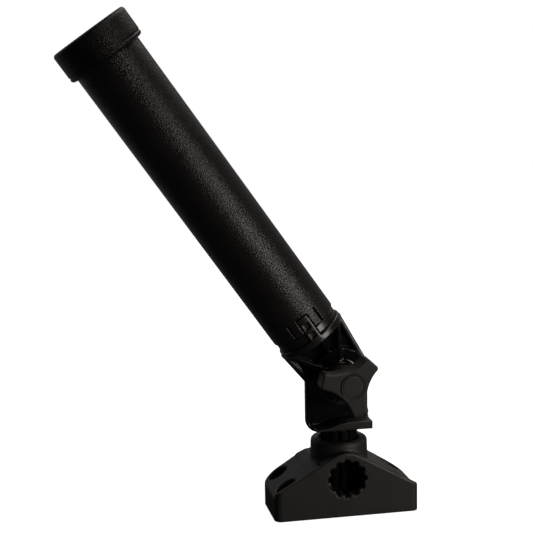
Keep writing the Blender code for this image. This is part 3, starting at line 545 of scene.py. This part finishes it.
KNOB_RADIUS, KNOB_WAIST, KNOB_LOBE_HALF_WIDTH, KNOB_LOBE_CORNER = 21.4, 10.9, 5.7, 2.2
KNOB_TURN, KNOB_LOBES, KNOB_HOLLOW_INSET = math.radians(46.6), 3, 1.0
KNOB_FRONT, KNOB_REAR = -41.0, -28.2
KNOB_SLEEVE_RADIUS, KNOB_SLEEVE = 9.5, (-33.0, -15.1)
NUT_ACROSS_FLATS, NUT_REAR = 11.6, -30.2
DISC_SEAT_RADIUS, DISC_SEAT_Y = 8.45, -39.4
DISC_RADIUS, DISC = 8.3, (-41.8, -39.7)
DISC_STEM_RADIUS, DISC_STEM = 4.9, (-41.0, -38.1)
DISC_GROOVE_RADIUS, DISC_GROOVE_HALF_WIDTH, DISC_GROOVE_Y = 7.1, 0.35, -41.5


def rotated(points, angle):
    c, s = math.cos(angle), math.sin(angle)
    return [(x * c - y * s, x * s + y * c) for x, y in points]


def knob_outline():
    """Three lobes with rounded corners, joined by hollows."""
    half_step = math.pi / KNOB_LOBES
    flat_end = KNOB_RADIUS - KNOB_LOBE_CORNER - KNOB_HOLLOW_INSET
    along, across = math.cos(half_step), math.sin(half_step)
    side = (
        flat_end * along + KNOB_LOBE_HALF_WIDTH * across,
        flat_end * across - KNOB_LOBE_HALF_WIDTH * along,
    )
    distance = (side[0] ** 2 + side[1] ** 2 - KNOB_WAIST ** 2) / (2 * (side[0] - KNOB_WAIST))
    half_waist = math.atan2(side[1], distance - side[0])
    out, up = KNOB_RADIUS - KNOB_LOBE_CORNER, KNOB_LOBE_HALF_WIDTH - KNOB_LOBE_CORNER
    lobe = arc((out, -up), KNOB_LOBE_CORNER, -math.pi / 2, 0.0, 6)
    lobe += arc((out, up), KNOB_LOBE_CORNER, 0.0, math.pi / 2, 6)
    hollow = arc((distance, 0.0), distance - KNOB_WAIST, math.pi + half_waist, math.pi - half_waist, 14)
    points = []
    for i in range(KNOB_LOBES):
        turn = KNOB_TURN + i * 2 * half_step
        points += rotated(lobe, turn) + rotated(hollow, turn + half_step)
    return points


def build_knob(material):
    grid = Grid((-KNOB_RADIUS, KNOB_FRONT, -KNOB_RADIUS), (KNOB_RADIUS, KNOB_SLEEVE[1], KNOB_RADIUS), 0.3)
    x, y, z = grid.x, grid.y, grid.z
    r = np.hypot(x, z)
    knob = rounded_slab(outline_field(knob_outline(), x, z), y, KNOB_FRONT, KNOB_REAR, 1.3)
    knob = either(knob, rounded_slab(r - KNOB_SLEEVE_RADIUS, y, *KNOB_SLEEVE, 0.5), fillet=1.2)
    knob = without(knob, r - PIVOT_BORE_RADIUS, rounding=0.3)
    nut = both(outline_field(hexagon(NUT_ACROSS_FLATS), x, z), y - NUT_REAR)
    knob = without(knob, nut, rounding=0.2)
    knob = without(knob, both(r - DISC_SEAT_RADIUS, y - DISC_SEAT_Y), rounding=0.2)
    return piece("knob_moulding", knob, grid, material, "knob", "knob", pivot_place)


def build_knob_cap(material):
    grid = Grid((-DISC_RADIUS, DISC[0], -DISC_RADIUS), (DISC_RADIUS, DISC_STEM[1], DISC_RADIUS), 0.2)
    x, y, z = grid.x, grid.y, grid.z
    r = np.hypot(x, z)
    disc = rounded_slab(r - DISC_RADIUS, y, *DISC, 0.5)
    disc = either(disc, rounded_slab(r - DISC_STEM_RADIUS, y, *DISC_STEM, 0.3))
    groove = both(np.abs(r - DISC_GROOVE_RADIUS) - DISC_GROOVE_HALF_WIDTH, y - DISC_GROOVE_Y, rounding=0.1)
    disc = without(disc, groove, rounding=0.1)
    return piece("knob_disc", disc, grid, material, "knob", "knob_cap", pivot_place)


# Materials

BLOTCH_SCALE, BLOTCH_RANGE = 38.0, (0.35, 0.75)
RUB_SCALE, RUB_RANGE = 210.0, (0.3, 0.7)
RUBBED_EDGE = (0.52, 0.60)
METAL_SCALE, METAL_ROUGH_SPREAD = 420.0, (-0.08, 0.12)


def plain_material(name):
    material = bpy.data.materials.new(name)
    material.use_nodes = True
    return material, material.node_tree, material.node_tree.nodes["Principled BSDF"]


def add(tree, kind, **values):
    """A node with its inputs set by name: keys are the inputs' names with _ for a space."""
    node = tree.nodes.new("ShaderNode" + kind)
    for key, value in values.items():
        node.inputs[key.replace("_", " ")].default_value = value
    return node


def ramp(tree, source, low, high, start=0.0, end=1.0):
    node = add(tree, "MapRange", From_Min=start, From_Max=end, To_Min=low, To_Max=high)
    tree.links.new(source, node.inputs["Value"])
    return node.outputs["Result"]


def object_noise(tree, scale, detail, roughness):
    """Noise that stays with the object, and the coordinates that it is made from."""
    where = tree.nodes.new("ShaderNodeTexCoord").outputs["Object"]
    noise = add(tree, "TexNoise", Scale=scale, Detail=detail, Roughness=roughness)
    tree.links.new(where, noise.inputs["Vector"])
    return noise.outputs["Fac"], where


def link_colour(tree, shader, dark, light, amount):
    mix = tree.nodes.new("ShaderNodeMix")
    mix.data_type = "RGBA"
    mix.inputs["A"].default_value = (*dark, 1)
    mix.inputs["B"].default_value = (*light, 1)
    tree.links.new(amount, mix.inputs["Factor"])
    tree.links.new(mix.outputs["Result"], shader.inputs["Base Color"])


def moulded(name, dark, light, rough, rough_spread, grain, pebble=None, specular=0.5):
    """Moulded plastic: slow colour and gloss variation, fine grain, and edges rubbed a little paler.

    grain and pebble are each a scale and a depth in metres.
    """
    material, tree, shader = plain_material(name)
    link = tree.links.new
    blotch, _ = object_noise(tree, BLOTCH_SCALE, 5.0, 0.6)
    pointiness = tree.nodes.new("ShaderNodeNewGeometry").outputs["Pointiness"]
    amount = tree.nodes.new("ShaderNodeMath")
    amount.operation = "MAXIMUM"
    link(ramp(tree, blotch, 0.0, 1.0, *BLOTCH_RANGE), amount.inputs[0])
    link(ramp(tree, pointiness, 0.0, 1.0, *RUBBED_EDGE), amount.inputs[1])
    link_colour(tree, shader, dark, light, amount.outputs[0])
    rub, _ = object_noise(tree, RUB_SCALE, 4.0, 0.7)
    roughness = ramp(tree, rub, rough - rough_spread, rough + rough_spread, *RUB_RANGE)
    link(roughness, shader.inputs["Roughness"])
    shader.inputs["Specular IOR Level"].default_value = specular
    scale, depth = grain
    fine, where = object_noise(tree, scale, 2.0, 0.5)
    bump = add(tree, "Bump", Strength=1.0, Distance=depth)
    link(fine, bump.inputs["Height"])
    if pebble:
        scale, depth = pebble
        cells = add(tree, "TexVoronoi", Scale=scale, Randomness=1.0)
        cells.feature = "SMOOTH_F1"
        cells.inputs["Smoothness"].default_value = 0.6
        link(where, cells.inputs["Vector"])
        second = add(tree, "Bump", Strength=1.0, Distance=depth)
        second.invert = True
        link(cells.outputs["Distance"], second.inputs["Height"])
        link(bump.outputs["Normal"], second.inputs["Normal"])
        bump = second
    link(bump.outputs["Normal"], shader.inputs["Normal"])
    return material


def metal(name, dark, light, rough):
    material, tree, shader = plain_material(name)
    noise, _ = object_noise(tree, METAL_SCALE, 6.0, 0.65)
    link_colour(tree, shader, dark, light, noise)
    low, high = METAL_ROUGH_SPREAD
    tree.links.new(ramp(tree, noise, rough + low, rough + high, *RUB_RANGE), shader.inputs["Roughness"])
    shader.inputs["Metallic"].default_value = 1.0
    return material


PEBBLE_GRAIN = {"grain": (3000, 0.00003), "pebble": (1250, 0.00020)}

mount_black = moulded(
    "mount_black", (0.015, 0.0145, 0.0135), (0.022, 0.021, 0.0195), 0.50, 0.06, grain=(2600, 0.00004)
)
# Lighter satin for the bracket's ledge: partly its matte finish, partly painted light for the lit ledge
# beside the shaded plate.
ledge_painted_lit_black = moulded(
    "ledge_painted_lit_black", (0.013, 0.013, 0.0125), (0.019, 0.019, 0.018), 0.42, 0.05, grain=(2200, 0.00003)
)
gloss_black = moulded(
    "gloss_black", (0.0025, 0.0025, 0.003), (0.0045, 0.0045, 0.005), 0.18, 0.04, grain=(900, 0.00001)
)
post_black = moulded(
    "post_black", (0.003, 0.003, 0.003), (0.005, 0.005, 0.005), 0.30, 0.04,
    grain=(900, 0.00001), specular=0.15,
)
knob_black = moulded(
    "knob_black", (0.015, 0.015, 0.014), (0.022, 0.022, 0.0205), 0.52, 0.05, grain=(2600, 0.00005)
)
ring_black = moulded(
    "ring_black", (0.010, 0.009, 0.009), (0.015, 0.014, 0.014), 0.30, 0.05, grain=(2000, 0.00002)
)
tube_black = moulded(
    "tube_black", (0.010, 0.009, 0.009), (0.015, 0.0135, 0.0135), 0.36, 0.05, specular=0.4, **PEBBLE_GRAIN
)
rim_black = moulded(
    "rim_black", (0.0035, 0.003, 0.003), (0.006, 0.0055, 0.0055), 0.46, 0.05, specular=0.3, **PEBBLE_GRAIN
)
rubber_black = moulded(
    "rubber_black", (0.010, 0.010, 0.010), (0.016, 0.016, 0.015), 0.75, 0.06, grain=(1800, 0.00004)
)
nylon_black = moulded(
    "nylon_black", (0.012, 0.012, 0.013), (0.018, 0.018, 0.019), 0.35, 0.05, grain=(1500, 0.00002)
)
steel = metal("stainless_steel", (0.42, 0.42, 0.44), (0.62, 0.62, 0.64), 0.28)
brass = metal("brass", (0.56, 0.40, 0.15), (0.78, 0.58, 0.27), 0.30)

for node, finish in (
    ("pivot_bolt", steel), ("gear_spring", steel), ("thrust_washer", nylon_black),
    ("post_ring", rubber_black), ("knob_nut", brass),
):
    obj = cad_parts[node]
    obj.data.materials.clear()
    obj.data.materials.append(finish)

build_mount(mount_black)
build_bracket(gloss_black, ledge_painted_lit_black, post_black)
build_adapter(gloss_black, ring_black)
build_lock_ring(ring_black)
build_tube(tube_black)
build_rim(rim_black)
build_knob(knob_black)
build_knob_cap(knob_black)


# Camera, floor and light

CAMERA_PLACE = (-0.20905, -0.84230, 0.31564)
CAMERA_YAW, CAMERA_PITCH, CAMERA_ROLL = 0.187260, 0.163067, 0.019445
CAMERA_LENS, CAMERA_SENSOR = 85.843, 36
FLOOR_HALF, FLOOR_DROP = 6.0, -0.0002
FLOOR_GREY, FLOOR_EMISSION, FLOOR_ROUGHNESS = 0.60, 0.96, (0.75, 0.80)
FLOOR_GLOW, FLOOR_GLOW_Y = (0.02, 0.22), (0.05, 0.8)
WORLD_GLOW, WORLD_GLOW_Y = (0.012, 0.22), (0.1, 0.75)
WARM_WHITE = (1.0, 0.90, 0.83)


def add_camera():
    """A camera at the photograph's viewing angle, set by its turn from +Y, its dip and its roll."""
    yaw, pitch, roll = CAMERA_YAW, CAMERA_PITCH, CAMERA_ROLL
    look = Vector((math.sin(yaw) * math.cos(pitch), math.cos(yaw) * math.cos(pitch), -math.sin(pitch)))
    right = look.cross(Vector((0, 0, 1))).normalized()
    up = right.cross(look)
    rolled_right = right * math.cos(roll) - up * math.sin(roll)
    rolled_up = right * math.sin(roll) + up * math.cos(roll)
    camera = bpy.data.objects.new("camera", bpy.data.cameras.new("camera"))
    bpy.context.scene.collection.objects.link(camera)
    place = Matrix.Identity(4)
    for i, axis in enumerate((rolled_right, rolled_up, -look)):
        place.col[i] = (*axis, 0)
    place.col[3] = (*CAMERA_PLACE, 1)
    camera.matrix_world = place
    camera.data.sensor_width = CAMERA_SENSOR
    camera.data.lens = CAMERA_LENS
    bpy.context.scene.camera = camera


def by_ray(tree, seen, unseen):
    """A shader that the camera sees as seen, and that lights and is mirrored as unseen."""
    mix = tree.nodes.new("ShaderNodeMixShader")
    tree.links.new(tree.nodes.new("ShaderNodeLightPath").outputs["Is Camera Ray"], mix.inputs["Fac"])
    tree.links.new(unseen, mix.inputs[1])
    tree.links.new(seen, mix.inputs[2])
    return mix.outputs["Shader"]


def along_y(tree, source):
    axes = tree.nodes.new("ShaderNodeSeparateXYZ")
    tree.links.new(source, axes.inputs[0])
    return axes.outputs["Y"]


def add_floor():
    """A pale floor, clear from below. The object mirrors it as white from behind, as dark in front."""
    mesh = bpy.data.meshes.new("floor")
    signs = ((-1, -1), (1, -1), (1, 1), (-1, 1))
    corners = [(x * FLOOR_HALF, y * FLOOR_HALF, FLOOR_DROP) for x, y in signs]
    mesh.from_pydata(corners, [], [(0, 1, 2, 3)])
    floor = bpy.data.objects.new("floor", mesh)
    bpy.context.scene.collection.objects.link(floor)
    material, tree, shader = plain_material("floor_white")
    link = tree.links.new
    noise = add(tree, "TexNoise", Scale=3.0, Detail=2.0)
    link(ramp(tree, noise.outputs["Fac"], *FLOOR_ROUGHNESS), shader.inputs["Roughness"])
    shader.inputs["Base Color"].default_value = (FLOOR_GREY, FLOOR_GREY, FLOOR_GREY, 1)
    shader.inputs["Emission Color"].default_value = (1, 1, 1, 1)
    shader.inputs["Emission Strength"].default_value = FLOOR_EMISSION
    place = along_y(tree, tree.nodes.new("ShaderNodeNewGeometry").outputs["Position"])
    glow = tree.nodes.new("ShaderNodeEmission")
    link(ramp(tree, place, *FLOOR_GLOW, *FLOOR_GLOW_Y), glow.inputs["Strength"])
    clear = tree.nodes.new("ShaderNodeMixShader")
    link(tree.nodes.new("ShaderNodeNewGeometry").outputs["Backfacing"], clear.inputs["Fac"])
    link(by_ray(tree, shader.outputs[0], glow.outputs[0]), clear.inputs[1])
    link(tree.nodes.new("ShaderNodeBsdfTransparent").outputs[0], clear.inputs[2])
    link(clear.outputs[0], tree.nodes["Material Output"].inputs["Surface"])
    mesh.materials.append(material)


def add_area(name, place, target, size, power, spread=180):
    light = bpy.data.lights.new(name, "AREA")
    light.shape = "RECTANGLE"
    light.size, light.size_y = size
    light.energy = power
    light.color = WARM_WHITE
    light.spread = math.radians(spread)
    obj = bpy.data.objects.new(name, light)
    bpy.context.scene.collection.objects.link(obj)
    obj.location = place
    obj.rotation_euler = (Vector(target) - Vector(place)).to_track_quat("-Z", "Y").to_euler()


def add_world():
    """A white backdrop: the object mirrors it from behind, and a dark studio from the front."""
    world = bpy.data.worlds.new("world")
    bpy.context.scene.world = world
    world.use_nodes = True
    tree = world.node_tree
    seen = tree.nodes["Background"]
    seen.inputs["Color"].default_value = (1, 1, 1, 1)
    unseen = tree.nodes.new("ShaderNodeBackground")
    place = along_y(tree, tree.nodes.new("ShaderNodeTexCoord").outputs["Generated"])
    tree.links.new(ramp(tree, place, *WORLD_GLOW, *WORLD_GLOW_Y), unseen.inputs["Strength"])
    surface = tree.nodes["World Output"].inputs["Surface"]
    tree.links.new(by_ray(tree, seen.outputs[0], unseen.outputs[0]), surface)


add_camera()
add_floor()
add_world()
add_area("key", (0.72, -0.92, 0.24), target=(0, 0, 0.08), size=(0.40, 0.42), power=0.44, spread=47)
add_area("rear", (0.5, 0.8, 1.4), target=(0, 0, 0.12), size=(0.9, 0.9), power=6.0)
add_area("under", (-0.3, 0.3, -1.2), target=(0, 0, 0), size=(0.6, 0.6), power=3.0)
add_area("top", (0.25, -0.45, 1.3), target=(0, 0, 0.1), size=(0.5, 0.5), power=3.6)
bpy.context.scene.view_settings.view_transform = "Standard"
